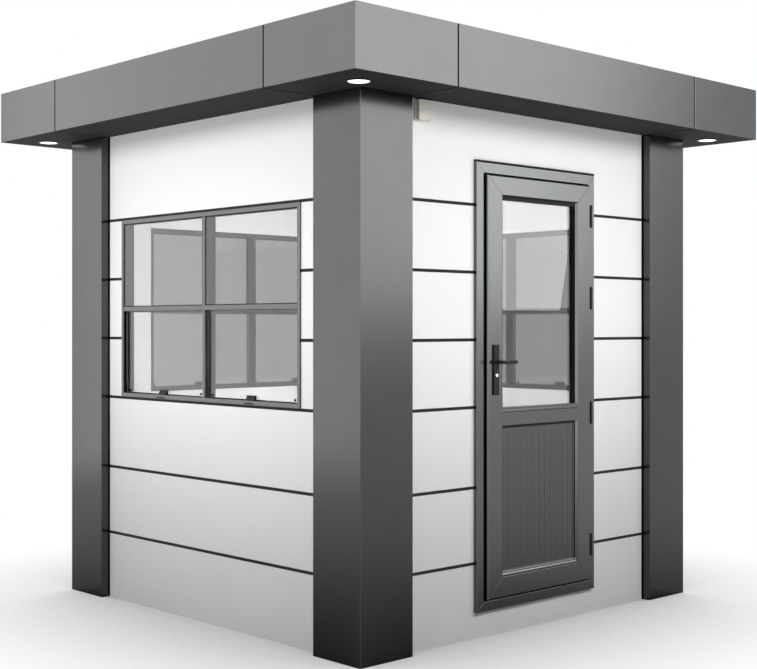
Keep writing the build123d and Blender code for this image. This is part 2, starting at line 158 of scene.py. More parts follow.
def spread(tree, value, low, high, start=0.3, end=0.7):
    """Turns a noise, which lies mostly between 0.3 and 0.7, into a value from low to high."""
    ramp = add(tree, "MapRange")
    feed(ramp, {"Value": value, "From Min": start, "From Max": end, "To Min": low, "To Max": high})
    return ramp.outputs["Result"]


def drift(tree, grain, detail, low, high, stretch=(1, 1, 1)):
    """A value that drifts from low to high over blotches one grain wide."""
    return spread(tree, noise(tree, grain, detail, stretch), low, high)


# %% [markdown]
# ## The studio
# The booth stands on a plain pale floor in front of a white backdrop. For the light that bounces
# between surfaces the floor is an ordinary grey and the backdrop is dim. Seen directly, in a gloss or
# through glass both are white, and the floor is darkened where the booth stands close over it. In a
# gloss that shade is wider and deeper, so the foot of a post turns dark, as over a real floor.

# %% Which rays see white
def seen_directly(tree):
    """1 for a ray from the camera, off a gloss or through glass, and 0 for soft light."""
    path = add(tree, "LightPath")
    either = maths(tree, "MAXIMUM", path.outputs["Is Camera Ray"], path.outputs["Is Glossy Ray"])
    return maths(tree, "MAXIMUM", either, path.outputs["Is Transmission Ray"])


# %% The floor
floor_reach = 300.0
floor_sides = 96
floor_grey = 0.25
shadow_reach = 1.3
gloss_shadow_reach = 7.0
gloss_shadow_depth = 3.0


def openness(tree, reach):
    """1 where nothing stands within reach over the floor, and less beside the booth."""
    node = add(tree, "AmbientOcclusion", samples=8)
    feed(node, {"Distance": reach})
    return node.outputs["AO"]


angles = [k * math.tau / floor_sides for k in range(floor_sides)]
rim = [(floor_reach * math.cos(a), floor_reach * math.sin(a), 0.0) for a in angles]
floor_mesh = bpy.data.meshes.new("studio_floor")
floor_mesh.from_pydata(rim, [], [tuple(range(floor_sides))])
floor = linked("studio_floor", floor_mesh)

material, tree, output = new_material("studio_floor")
paint = add(tree, "BsdfDiffuse")
feed(paint, {"Color": (floor_grey, floor_grey, floor_grey)})
near_shade = openness(tree, shadow_reach)
deeper = maths(tree, "POWER", openness(tree, gloss_shadow_reach), gloss_shadow_depth)
off_gloss = add(tree, "LightPath").outputs["Is Glossy Ray"]
white = add(tree, "Emission")
feed(white, {"Strength": blend(tree, "FLOAT", off_gloss, near_shade, deeper)})
mix = add(tree, "MixShader")
feed(mix, {"Fac": seen_directly(tree), 1: paint.outputs["BSDF"], 2: white.outputs["Emission"]})
feed(output, {"Surface": mix.outputs["Shader"]})
floor_mesh.materials.append(material)
print("floor", 2 * floor_reach, "m across, shadow reach", shadow_reach, "m")

# %% The backdrop
room_light = 0.12
world = bpy.data.worlds.new("backdrop")
world.use_nodes = True
bpy.context.scene.world = world
tree = world.node_tree
tree.nodes.clear()
level = spread(tree, seen_directly(tree), room_light, 1.0, 0.0, 1.0)
background = add(tree, "Background")
feed(background, {"Color": (1, 1, 1), "Strength": level})
feed(add(tree, "OutputWorld"), {"Surface": background.outputs["Background"]})
print("room light", room_light)

# %% [markdown]
# ## Panels for the gloss
# Satin steel and glass show the lamps of a studio as soft bright shapes. Each is a curved glowing wall
# here that only gloss can see, because a mesh shows with an outline that can be drawn. Most stand far
# off and start just over the horizon, so a face that looks at them turns dark below eye height. The
# left one stands near and on the floor, so the left faces stay light further down. The gap between two
# front panels draws the slanted edge in the door's glass.

# %% Soft panels
panel_steps = 12
far = 200
near = 7.5
horizon = 3.8


def hide_from(thing, *rays):
    """Hides a lamp or a panel from some kinds of ray."""
    for ray in rays:
        setattr(thing, f"visible_{ray}", False)


def soft_panel(name, foot_angles, head_angles, distance, heights, strength):
    """A glowing curved wall round the booth: its ends as angles from +X in degrees, at foot and head."""
    points, faces = [], []
    for step in range(panel_steps + 1):
        share = step / panel_steps
        for height, (first, last) in zip(heights, (foot_angles, head_angles)):
            angle = math.radians(first + (last - first) * share)
            points.append((distance * math.cos(angle), distance * math.sin(angle), height))
        if step:
            faces.append((2 * step - 2, 2 * step, 2 * step + 1, 2 * step - 1))
    mesh = bpy.data.meshes.new(name)
    mesh.from_pydata(points, [], faces)
    panel = linked(name, mesh)
    material, tree, output = new_material(name)
    glow = add(tree, "Emission")
    feed(glow, {"Strength": strength})
    feed(output, {"Surface": glow.outputs["Emission"]})
    mesh.materials.append(material)
    hide_from(panel, "camera", "transmission", "diffuse", "shadow")
    print(name, "strength", strength)


soft_panel("front_panel", (-140, -39.57), (-140, -38.77), far, (horizon, 24), 4.4)
soft_panel("front_side_panel", (-38.8, -37.2), (-38.7, -36.0), far, (horizon, 24), 2.3)
soft_panel("front_upper_panel", (-140, -37.0), (-140, -33.5), far, (24, 95), 4.3)
soft_panel("front_top_panel", (-140, -34), (-140, -34), far, (95, 350), 3.2)
soft_panel("left_panel", (220, 122.3), (220, 122.3), near, (0.02, 13), 2.45)
soft_panel("right_panel", (-8, 20), (-8, 20), far, (horizon, 350), 2.2)
soft_panel("back_panel", (20, 115), (20, 115), far, (horizon, 350), 2.4)

# %% [markdown]
# ## Lamps for the matt surfaces
# Two long soft lamps stand off each wall and light what is matt. The high one leaves a soft shadow
# under the roof's edge, and the low one lights a wall's middle more than its foot. They don't show in
# gloss, where the panels already do. One soft lamp inside stands for the light that fills a white room.

# %% Wall lamps
lamp_size = (3.0, 0.9)
post_face = 1.15
wall_turns = {"front": 0, "right": 90, "back": 180, "left": -90}
lamp_rows = {"low": (1.2, 1.5), "high": (3.0, 3.2)}
watts = {"low": 20.0, "high": 53.5}
front_share = {"low": 0.85, "high": 1.13}

for name, turn in wall_turns.items():
    for row, (distance, height) in lamp_rows.items():
        data = bpy.data.lights.new(f"{name}_{row}_lamp", "AREA")
        data.shape = "RECTANGLE"
        data.size, data.size_y = lamp_size
        data.energy = watts[row] * (front_share[row] if name == "front" else 1.0)
        lamp = linked(data.name, data)
        lamp.matrix_world = (
            Matrix.Rotation(math.radians(turn), 4, "Z")
            @ Matrix.Translation((0, -(post_face + distance), height))
            @ Matrix.Rotation(math.radians(90), 4, "X")
        )
        hide_from(lamp, "camera", "glossy", "transmission")

# %% A lamp inside
inside_data = bpy.data.lights.new("inside_lamp", "POINT")
inside_data.shadow_soft_size = 0.35
inside_data.energy = 62.0
inside_lamp = linked("inside_lamp", inside_data)
inside_lamp.location = (0, 0, 1.35)
hide_from(inside_lamp, "camera", "glossy", "transmission")
print("wall lamps", watts, "inside", inside_data.energy, "W")

# %% [markdown]
# ## A plain coat
# Paint, rubber and cast metal all need the same three things: a colour that drifts a little, a gloss
# that drifts a little, and a fine skin. Each could be an image, but noise nodes stay sharp at any
# distance. So one function makes such a coat from the width of its blotches and how far they go.

# %% Shader, skin and coat
finishes = {}


def new_finish(name, metallic=0.0, specular=0.5):
    """A finish and its shader; colour, gloss and skin are still to be fed."""
    material, tree, output = new_material(name)
    shader = add(tree, "BsdfPrincipled")
    feed(shader, {"Metallic": metallic, "Specular IOR Level": specular})
    feed(output, {"Surface": shader.outputs["BSDF"]})
    finishes[name] = material
    print("finish", name)
    return tree, shader


def add_bump(tree, shader, height, depth):
    """A bump whose full height is depth, in metres."""
    bump = add(tree, "Bump")
    feed(bump, {"Distance": depth, "Height": height})
    feed(shader, {"Normal": bump.outputs["Normal"]})


def coat(name, colour, tone, gloss, skin=None, metallic=0.0, specular=0.5, stretch=(1, 1, 1)):
    """A coat: tone and gloss are (grain, detail, low, high), or a gloss is one number, and skin is
    (grain, detail, depth)."""
    tree, shader = new_finish(name, metallic, specular)
    shade = tinted(tree, colour, drift(tree, *tone, stretch))
    sheen = drift(tree, *gloss, stretch) if isinstance(gloss, tuple) else gloss
    feed(shader, {"Base Color": shade, "Roughness": sheen})
    if skin:
        grain, detail, depth = skin
        add_bump(tree, shader, noise(tree, grain, detail, stretch), depth)
    return tree, shader, shade, sheen


# %% Inside or outside
inner_face = 1.046
inner_white = (0.84, 0.84, 0.83)
close = 0.0005


def inside_share(tree):
    """1 on faces that close the room, and 0 outside."""
    furthest = maths(tree, "MAXIMUM", *(maths(tree, "ABSOLUTE", coordinate(tree, axis)) for axis in "XY"))
    return maths(tree, "LESS_THAN", furthest, inner_face + close)


# %% [markdown]
# ## Coated steel
# Posts, roof edge, door and windows are steel and aluminium with a baked coat in a dark satin grey.
# The coat has two scales that show: a soft cloudiness over a hand's width, and the fine skin that
# paint makers call orange peel. The first goes into colour and gloss, the second into a bump of a
# hundredth of a millimetre. The sheen is strong, so the shader is a metallic one. A post is white on
# the room's side. The roof's underside is dull, and its much darker grey is painted shade.

# %% The satin coat
def coated_steel(name, colour, roughness, specular=0.5):
    """The satin coat: clouds in its tone, and a gloss that hardly drifts."""
    gloss = (0.05, 4.0, roughness - 0.01, roughness + 0.01)
    return coat(name, colour, (0.18, 3.0, 0.98, 1.02), gloss, (0.0025, 1.0, 0.00001), 1.0, specular)


def dull_where(tree, shader, share, tone, dull_tone, sheen, roughness):
    """Turns the satin coat into a dull one, with no metal in it, where share is 1."""
    base = blend(tree, "RGBA", share, tone, dull_tone)
    feed(shader, {"Base Color": base, "Roughness": blend(tree, "FLOAT", share, sheen, roughness)})
    feed(shader, {"Metallic": blend(tree, "FLOAT", share, 1.0, 0.0)})


# %% Posts
tree, shader, tone, sheen = coated_steel("post_cladding", (0.070, 0.0705, 0.072), 0.19)
dull_where(tree, shader, inside_share(tree), tone, inner_white, sheen, 0.45)

# %% Roof edge
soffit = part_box("roof_edge_front")[0].z
# Under the roof edge the coat turns dull, and its dark grey is painted shade.
soffit_painted_shade_grey = (0.020, 0.020, 0.021)
tree, shader, tone, sheen = coated_steel("roof_cladding", (0.086, 0.0865, 0.088), 0.19, 0.2)
under = maths(tree, "LESS_THAN", coordinate(tree, "Z"), soffit + close)
dull_tone = tinted(tree, soffit_painted_shade_grey, drift(tree, 0.18, 3.0, 0.95, 1.05))
dull_where(tree, shader, under, tone, dull_tone, sheen, 0.85)

# %% Door and windows
coated_steel("door_profile", (0.110, 0.113, 0.116), 0.20)
coated_steel("window_profile", (0.094, 0.095, 0.097), 0.22)

# %% [markdown]
# ## The grooved panel in the door
# The lower panel has the door's coat, with painted shade in its grooves. Depth tells a groove
# from a face, so the tone is darkened by how far a point lies below the panel's faces.

# %% Its coat
groove = 0.0025
groove_painted_shade = 0.45
panel_low, panel_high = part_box("door_panel")
panel_middle = (panel_low.y + panel_high.y) / 2
panel_half = (panel_high.y - panel_low.y) / 2
tree, shader, tone, sheen = coated_steel("grooved_panel", (0.085, 0.0875, 0.090), 0.24)
away = maths(tree, "ABSOLUTE", maths(tree, "SUBTRACT", coordinate(tree, "Y"), panel_middle))
# Painted shade: the tone in a groove is darkened by its depth below the panel's faces.
painted_groove_darkening = spread(tree, away, groove_painted_shade, 1.0, panel_half - groove, panel_half - 0.0002)
feed(shader, {"Base Color": tinted(tree, tone, painted_groove_darkening)})

# %% [markdown]
# ## White panels
# The walls are insulated panels with a white coated steel skin. A skin that thin is never quite flat:
# it has a very slow wave from panel to panel, which only shows in its sheen, and the same orange peel
# as other coated steel. The white stays a little under full white, so the lamps can't burn it out.

# %% The white skin
peel_share = 0.04
white = (0.86, 0.86, 0.855)
tree, shader, tone, sheen = coat("wall_panel", white, (0.5, 2.0, 0.985, 1.0), (0.12, 3.0, 0.40, 0.48))
wave = noise(tree, 0.9, 0.0, (1, 1, 1.6))
skin = maths(tree, "MULTIPLY_ADD", noise(tree, 0.002, 1.0), peel_share, wave)
add_bump(tree, shader, skin, 0.0004)

# %% [markdown]
# ## Rubber and hardware
# Black rubber fills the joints. It is matt, with a fine grain and pale dust, and inside it is painted
# over with the walls. The door's hardware is black powder coat, rougher than the satin grey. The lock's
# face is brushed nickel, so its noise is stretched into short lines. The small box is ivory plastic,
# and the roof is a ribbed sheet with a dull weathered coat.

# %% Rubber
tree, shader, rubber, sheen = coat(
    "black_seal", (0.008, 0.008, 0.0084), (0.06, 4.0, 0.75, 1.3), (0.03, 3.0, 0.52, 0.68),
    (0.0012, 1.0, 0.00005), specular=0.15,
)
feed(shader, {"Base Color": blend(tree, "RGBA", inside_share(tree), rubber, inner_white)})

# %% Black powder coat
coat(
    "black_hardware", (0.014, 0.014, 0.015), (0.02, 3.0, 0.85, 1.2), (0.01, 3.0, 0.30, 0.42),
    (0.0009, 1.0, 0.00003), specular=0.12,
)

# %% Brushed nickel
coat(
    "bright_metal", (0.74, 0.73, 0.70), (0.004, 3.0, 0.9, 1.0), (0.004, 3.0, 0.16, 0.30),
    (0.004, 3.0, 0.00002), metallic=1.0, stretch=(1, 1, 14),
)

# %% Roof sheet and small box
coat(
    "roof_membrane", (0.25, 0.255, 0.26), (0.35, 5.0, 0.88, 1.08), (0.1, 4.0, 0.5, 0.66),
    (0.003, 2.0, 0.00008),
)
coat(
    "sensor_housing", (0.80, 0.78, 0.71), (0.03, 3.0, 0.96, 1.03), (0.012, 3.0, 0.4, 0.52),
    (0.0011, 1.0, 0.00004),
)

# %% [markdown]
# ## Crystals and specks
# Hidden steel is galvanised, and each flat crystal of its zinc catches the light in its own way. The
# floor inside is a sheet with fine specks. Both are cells with one tone each: a Voronoi pattern.

# %% Galvanised steel and floor sheet
def add_cells(tree, shader, count, colour, low, high):
    """Tints a colour from cell to cell, count cells to a metre, and gives a second value of each cell."""
    pattern = add(tree, "TexVoronoi")
    feed(pattern, {"Scale": count, "Vector": add(tree, "TexCoord").outputs["Object"]})
    parts = add(tree, "SeparateColor")
    feed(parts, {"Color": pattern.outputs["Color"]})
    tone = spread(tree, parts.outputs["Red"], low, high, 0, 1)
    feed(shader, {"Base Color": tinted(tree, colour, tone)})
    return parts.outputs["Green"]


tree, shader = new_finish("galvanised_steel", metallic=1.0)
second = add_cells(tree, shader, 70.0, (0.50, 0.51, 0.52), 0.8, 1.1)
feed(shader, {"Roughness": spread(tree, second, 0.35, 0.55, 0, 1)})

tree, shader = new_finish("floor_covering")
second = add_cells(tree, shader, 260.0, (0.30, 0.31, 0.32), 0.7, 1.25)
feed(shader, {"Roughness": drift(tree, 0.08, 3.0, 0.42, 0.6)})
add_bump(tree, shader, second, 0.00004)

# %% [markdown]
# ## Glass and lamp lens
# The panes are grey tinted float glass. One shader does it: full transmission, and the tint as its
# base colour, which the light takes on at both faces. A coated pane reflects more, so its index is
# higher. The lens of a downlight is frosted plastic that glows.

# %% The panes and the lens
def tinted_glass(name, tint, index):
    """Float glass; tint is what one face lets through, and a coated pane has a higher index."""
    tree, shader, tone, sheen = coat(name, tint, (0.25, 4.0, 0.98, 1.0), 0.0)
    feed(shader, {"Transmission Weight": 1.0, "IOR": index})


tinted_glass("window_glass", (0.50, 0.505, 0.505), 1.45)
tinted_glass("door_glass", (0.43, 0.435, 0.435), 1.6)

frosted = (0.9, 0.9, 0.9)
tree, shader, tone, sheen = coat("lamp_lens", frosted, (0.004, 2.0, 0.93, 1.0), 0.35, (0.0015, 1.0, 0.0001))
feed(shader, {"Emission Color": (1.0, 0.985, 0.96)})
feed(shader, {"Emission Strength": drift(tree, 0.03, 2.0, 1.6, 2.0)})

# %% Every part of the frame gets its finish
slot_of = {part["node"]: part["material_slot"] for part in frame["record"]["subparts"]}
for name, node in nodes.items():
    node.data.materials.clear()
    node.data.materials.append(finishes[slot_of[name]])
nodes["door_panel"].data.materials[0] = finishes["grooved_panel"]
print("finishes", len(finishes), "on", len(nodes), "parts")

# %% [markdown]
# ## Ways to make a piece
# Most pieces here are lengths of extruded profile on a wall. So a point is given as on the wall: along
# it, up from the ground, and outward from its face. One helper draws a solid between two outlines,
# one cuts lengths of a profile to 45 degrees and sets them round a rectangle with a hairline between
# them, one turns an outline about an axis, and one finishes a piece: it breaks its edges, and says
# which body carries it.

# %% Places on a wall
wall_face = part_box("front_wall_left")[0].y * -1
sides = (-1, 1)


def on_wall(turn, u, v, w):
    """A point along a wall, up from the ground, and outward from its outer face."""
    return Matrix.Rotation(math.radians(turn), 3, "Z") @ Vector((u, -(wall_face + w), v))


def wall_box(node, turn=0):
    """A part's lowest and highest u, v and w on a wall."""
    low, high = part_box(node)
    back = Matrix.Rotation(math.radians(-turn), 3, "Z")
    ends = [back @ low, back @ high]
    us, ws = [p.x for p in ends], [-p.y - wall_face for p in ends]
    return (min(us), max(us)), (low.z, high.z), (min(ws), max(ws))


def on_side(side, first, last):
    """A range along the wall on one side of its middle, lowest first."""
    return sorted((side * first, side * last))


print("wall face", round(wall_face, 4), "m from the middle")

# %% Solids
def add_solid(shape, first, last):
    """A closed solid between two outlines with the same number of points."""
    low = [shape.verts.new(p) for p in first]
    high = [shape.verts.new(p) for p in last]
    count = len(low)
    shape.faces.new(low[::-1])
    shape.faces.new(high)
    for i in range(count):
        j = (i + 1) % count
        shape.faces.new((low[i], low[j], high[j], high[i]))


def add_plate(shape, turn, outline, w_range):
    """A plate on a wall: its outline's points are (u, v)."""
    add_solid(shape, *[[on_wall(turn, u, v, w) for u, v in outline] for w in w_range])


def add_block(shape, turn, u_range, v_range, w_range):
    """A plain block on a wall."""
    (u0, u1), (v0, v1) = u_range, v_range
    add_plate(shape, turn, [(u0, v0), (u1, v0), (u1, v1), (u0, v1)], w_range)


def add_bar(shape, turn, section, ends):
    """A level bar on a wall, by its section's (v, w) and the places of its two ends."""
    add_solid(shape, *[[on_wall(turn, u, v, w) for v, w in section] for u in ends])


def add_bands(shape, rings, closed_round=False):
    """Faces between rings of points; with closed_round the last ring joins the first."""
    count = len(rings[0])
    for here, there in zip(rings, rings[1:] + (rings[:1] if closed_round else [])):
        for i in range(count):
            j = (i + 1) % count
            shape.faces.new((here[i], here[j], there[j], there[i]))


# %% Lengths of profile round a rectangle
hairline = 0.0003
all_round = ("foot", "right", "head", "left")


def add_members(shape, turn, bounds, profile, stretch=(1, 1, 1, 1), lengths=all_round):
    """Mitred lengths: the profile's points are (inward, outward), stretched inward side by side."""
    (u0, u1), (v0, v1) = bounds
    left, right, bottom, top = stretch

    def corner(t, w, at_right, at_top, slide_u, slide_v):
        u = u1 - t * right - slide_u if at_right else u0 + t * left + slide_u
        v = v1 - t * top - slide_v if at_top else v0 + t * bottom + slide_v
        return on_wall(turn, u, v, w)

    for length, ends, slides in (
        ("foot", ((0, 0), (1, 0)), (hairline, 0)),
        ("right", ((1, 0), (1, 1)), (0, hairline)),
        ("head", ((1, 1), (0, 1)), (hairline, 0)),
        ("left", ((0, 1), (0, 0)), (0, hairline)),
    ):
        if length in lengths:
            add_solid(shape, *[[corner(t, w, *end, *slides) for t, w in profile] for end in ends])


def add_ring(shape, turn, bounds, profile):
    """One closed ring of a profile round a rectangle, such as a rubber seal."""
    (u0, u1), (v0, v1) = bounds
    corners = ((u0, v0, 1, 1), (u1, v0, -1, 1), (u1, v1, -1, -1), (u0, v1, 1, -1))
    rings = [
        [shape.verts.new(on_wall(turn, u + su * t, v + sv * t, w)) for t, w in profile]
        for u, v, su, sv in corners
    ]
    add_bands(shape, rings, closed_round=True)


# %% Turned pieces
def turned_rings(shape, centre, axis, outline, count):
    """Rings of points round an axis; the outline's points are (radius, along)."""
    turn = axis.to_track_quat("Z", "Y").to_matrix()
    angles = [math.tau * k / count for k in range(count)]
    return [
        [shape.verts.new(centre + turn @ Vector((r * math.cos(a), r * math.sin(a), d))) for a in angles]
        for r, d in outline
    ]


def add_turned(shape, centre, axis, outline, count=24):
    """A turned piece, from its flat foot to its last ring, or to a tip whose radius is 0."""
    pointed = outline[-1][0] == 0
    rings = turned_rings(shape, centre, axis, outline[:-1] if pointed else outline, count)
    add_bands(shape, rings)
    shape.faces.new(rings[0])
    if pointed:
        tip = shape.verts.new(centre + axis * outline[-1][1])
        for k in range(count):
            shape.faces.new((rings[-1][k], rings[-1][(k + 1) % count], tip))
    else:
        shape.faces.new(rings[-1])


# %% Finishing a piece
def to_object(name, shape):
    """Closes a shape's outward side and links it as an object."""
    bmesh.ops.recalc_face_normals(shape, faces=shape.faces)
    mesh = bpy.data.meshes.new(name)
    shape.to_mesh(mesh)
    shape.free()
    return linked(name, mesh)


def make_piece(name, shape, slot, body="booth", stands_for=(), edge=0.0, steps=2, sharp=40, smooth=20):
    """Turns a shape into a named piece with broken edges, a finish and a body."""
    piece = to_object(name, shape)
    mesh = piece.data
    mesh.materials.append(finishes[slot])
    if edge:
        bevel = piece.modifiers.new("broken edges", "BEVEL")
        bevel.width = edge
        bevel.segments = steps
        bevel.limit_method = "ANGLE"
        bevel.angle_limit = math.radians(sharp)
        bevel.harden_normals = True
    mesh.shade_smooth()
    mesh.set_sharp_from_angle(angle=math.radians(smooth))
    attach(piece, body)
    if stands_for:
        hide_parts(*stands_for)
    print(name, "on", body, "faces", len(mesh.polygons))


def cut_away(shape, cutter):
    """The shape less the cutter."""
    body, tool = to_object("shape", shape), to_object("cutter", cutter)
    less = body.modifiers.new("cut", "BOOLEAN")
    less.operation = "DIFFERENCE"
    less.solver = "EXACT"
    less.object = tool
    bpy.context.view_layer.update()
    result = body.evaluated_get(bpy.context.evaluated_depsgraph_get()).to_mesh()
    out = bmesh.new()
    out.from_mesh(result)
    for thing in (body, tool):
        mesh = thing.data
        bpy.data.objects.remove(thing)
        bpy.data.meshes.remove(mesh)
    return out


# %% [markdown]
# ## Joint gaskets
# Between two rows of panels lies a black rubber gasket with a thin lip that covers the panels' edges.
# A lip of its own keeps the joint one clean black line. The joints stop at door and windows.

# %% Lips over the joints
joint_heights = (0.338, 0.679, 1.040, 1.344, 1.648, 1.952)
beside_window = (1.1, 1.9)
lip_half = 0.0070
lip_w = (-0.004, 0.0007)
run_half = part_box("front_wall_left")[0].x * -1
door_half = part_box("door_frame")[1].x
window_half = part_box("window_frame_left")[1].y
lips = bmesh.new()
for turn in wall_turns.values():
    opening = door_half if turn == 0 else window_half
    for height in joint_heights:
        if turn == 0 or beside_window[0] < height < beside_window[1]:
            runs = ((-run_half, -opening), (opening, run_half))
        else:
            runs = ((-run_half, run_half),)
        for run in runs:
            add_block(lips, turn, run, (height - lip_half, height + lip_half), lip_w)
make_piece("joint_gaskets", lips, "black_seal")

# %% [markdown]
# ## Window frames
# A window frame is four lengths of aluminium profile, mitred at the corners. An upright bar and a
# cross bar divide it in four. The lower panes slide up, so the jambs have a track. Drawn with a
# profile and mitres, the corners show the hairline that real ones have.

# %% Sizes of a window
win_u, win_v, win_w = wall_box("window_frame_left", -90)
frame_face = 0.022
jamb_face = 0.017
frame_back = -0.060
track_depth = 0.012
track_w = (-0.0125, 0.0015)
bar_half = 0.010
bar_w = (frame_back, win_w[1] - 0.0035)
cross_v = (1.482, 1.504)
cross_w = (win_w[1] - 0.017, win_w[1] - 0.0031)
pane_side = win_u[1] - jamb_face
sill_top = win_v[0] + frame_face
head = win_v[1] - frame_face
windows = {"left": -90, "back": 180, "right": 90}
print("window", win_u, win_v, win_w)

# %% Frames with tracks
bar_gap = 0.0006
outer_arris = 0.0025
inner_arris = 0.0015
slim = jamb_face / frame_face
frame_profile = [
    (0, frame_back), (frame_face, frame_back), (frame_face, win_w[1] - outer_arris),
    (frame_face - inner_arris, win_w[1]), (outer_arris, win_w[1]), (0, win_w[1] - outer_arris),
]
for name, turn in windows.items():
    members = bmesh.new()
    add_members(members, turn, (win_u, win_v), frame_profile, (slim, slim, 1, 1))
    add_block(members, turn, (-bar_half, bar_half), (sill_top + bar_gap, head - bar_gap), bar_w)
    tracks = bmesh.new()
    for side in sides:
        add_block(members, turn, on_side(side, bar_half + bar_gap, pane_side - bar_gap), cross_v, cross_w)
        across = on_side(side, pane_side - 0.001, pane_side + track_depth)
        add_block(tracks, turn, across, (sill_top - 0.0005, cross_v[0]), track_w)
    cut = cut_away(members, tracks)
    replaced = [f"window_frame_{name}"]
    make_piece(f"window_{name}_members", cut, "window_profile", stands_for=replaced, edge=0.0007)

# %% [markdown]
# ## Seals round the panes
# Fixed panes sit in a black rubber seal that shows as a thin dark line. It goes round without a break,
# so it is one ring with a sloped front. The sliding panes run in black brush strips that line the
# floor of the tracks and the sill.

# %% Pane seals and brushes
seal_width = 0.0045
seal_slope = 0.6
upper_pane_w = (-0.003, 0.003)
seal_w = ((upper_pane_w[1] + 0.0022, upper_pane_w[1]), (upper_pane_w[0], upper_pane_w[0] - 0.0025))
brush = 0.002
sill_brush = 0.004
sill_brush_w = (-0.012, -0.009)
for name, turn in windows.items():
    seals, liners = bmesh.new(), bmesh.new()
    for side in sides:
        for front, back in seal_w:
            profile = [(0, back), (seal_width, back), (seal_width * seal_slope, front), (0, front)]
            add_ring(seals, turn, (on_side(side, bar_half, pane_side), (cross_v[1], head)), profile)
        across = on_side(side, pane_side + track_depth, pane_side + track_depth - brush)
        add_block(liners, turn, across, (sill_top, cross_v[0]), track_w)
        across = on_side(side, bar_half, pane_side)
        add_block(liners, turn, across, (sill_top, sill_top + sill_brush), sill_brush_w)
    make_piece(f"window_{name}_seals", seals, "black_seal")
    make_piece(f"window_{name}_brushes", liners, "black_seal", edge=0.0003, steps=1)

# %% [markdown]
# ## Panes
# Each window has four panes, and the lower two lie further in, because they slide up behind the fixed
# ones. A pane has a real thickness and a small arris. A fit of a fifth of a millimetre keeps glass and
# frame from sharing a face.

# %% Four panes a window
pane_fit = 0.0002
lower_pane_head = 1.4765
lower_pane_w = (-0.019, -0.013)
for name, turn in windows.items():
    panes = bmesh.new()
    for side in sides:
        across = on_side(side, bar_half + pane_fit, pane_side - pane_fit)
        for low, high, depth in ((cross_v[1], head, upper_pane_w), (sill_top, lower_pane_head, lower_pane_w)):
            add_block(panes, turn, across, (low + pane_fit, high - pane_fit), depth)
    replaced = [f"window_glass_{name}"]
    make_piece(f"window_{name}_panes", panes, "window_glass", stands_for=replaced, edge=0.0004, steps=1)

# %% [markdown]
# ## Stop screws and finger pulls
# A small stop screw near each lower corner keeps a sliding pane from dropping, and a shallow finger
# pull is pressed into the sill before each pane. A screw is turned. A pull is half an oval that gets
# smaller towards its front.

# %% Stop screws and finger pulls
screw_from_side = 0.036
screw_v = 1.080
stop_screw = [(0.0065, 0), (0.0065, 0.002), (0.0055, 0.0036), (0.003, 0.0044), (0, 0.0045)]
pull_u = 0.355
pull_v = 1.050
pull_half = 0.042
pull_height = 0.008
pull_steps = 16


def pull_outline(side, width_share, height_share, lift):
    """Half an oval on the sill, as (u, v)."""
    points = []
    for k in range(pull_steps + 1):
        angle = math.pi * k / pull_steps
        u = side * pull_u + pull_half * math.cos(angle) * width_share
        points.append((u, pull_v + lift + pull_height * math.sin(angle) * height_share))
    return points


for name, turn in windows.items():
    outward = on_wall(turn, 0, 0, 1) - on_wall(turn, 0, 0, 0)
    screws, pulls = bmesh.new(), bmesh.new()
    for side in sides:
        for u in (bar_half + screw_from_side, pane_side - screw_from_side):
            seat = on_wall(turn, side * u, screw_v, lower_pane_w[1])
            add_turned(screws, seat, outward, stop_screw, 20)
        low = [on_wall(turn, u, v, win_w[1] - 0.001) for u, v in pull_outline(side, 1, 1, 0)]
        high = [on_wall(turn, u, v, win_w[1] + 0.0012) for u, v in pull_outline(side, 0.96, 0.86, 0.0004)]
        add_solid(pulls, low, high)
    make_piece(f"window_{name}_stop_screws", screws, "black_seal")
    make_piece(f"window_{name}_finger_pulls", pulls, "black_seal", edge=0.0003, steps=1)

# %% [markdown]
# ## Sliding rails and catches
# Each sliding pane has a rail along its top, with a groove that takes the glass, and a black catch on
# its foot. Both are small profiles, so they are drawn by their section: the rail has a lip to pull it
# by, and the catch slopes where the finger goes.

# %% Rails on the sliding panes
rail_v = (1.4755, 1.490)
rail_w = (-0.023, -0.011)
rail_gap = 0.0008
rail_groove = 0.0015
rail_section = [
    (rail_v[0], rail_w[0]), (rail_v[0], rail_w[1]), (rail_v[0] + 0.004, rail_w[1]),
    (rail_v[0] + 0.005, rail_w[1] - rail_groove), (rail_v[1] - 0.007, rail_w[1] - rail_groove),
    (rail_v[1] - 0.006, rail_w[1]), (rail_v[1], rail_w[1]), (rail_v[1], rail_w[0]),
]
rails = bmesh.new()
for turn in windows.values():
    for side in sides:
        add_bar(rails, turn, rail_section, on_side(side, bar_half + rail_gap, pane_side - rail_gap))
make_piece("sliding_rails", rails, "window_profile", stands_for=["window_sash_rails"], edge=0.0006)

# %% Catches
catch_half = 0.031
catch_height = 0.023
catch_w = (-0.013, 0.001)
catch_u = (bar_half + pane_side) / 2
catch_section = [
    (0, catch_w[0]), (0, catch_w[1]), (0.012, catch_w[1]), (0.015, catch_w[1] - 0.004),
    (0.018, catch_w[1] - 0.004), (0.020, catch_w[1] - 0.001), (catch_height, catch_w[1] - 0.002),
    (catch_height, catch_w[0]),
]
catch_section = [(sill_top + v, w) for v, w in catch_section]
catches = bmesh.new()
for turn in windows.values():
    for side in sides:
        add_bar(catches, turn, catch_section, (side * catch_u - catch_half, side * catch_u + catch_half))
make_piece("catches", catches, "black_hardware", stands_for=["window_catches"], edge=0.0012, steps=3)

# %% [markdown]
# ## The door's frame
# The door's frame is a mitred profile with a step behind, which the leaf closes on. Its head is a
# little deeper than its jambs. One profile, stretched at the head, gives all four lengths.

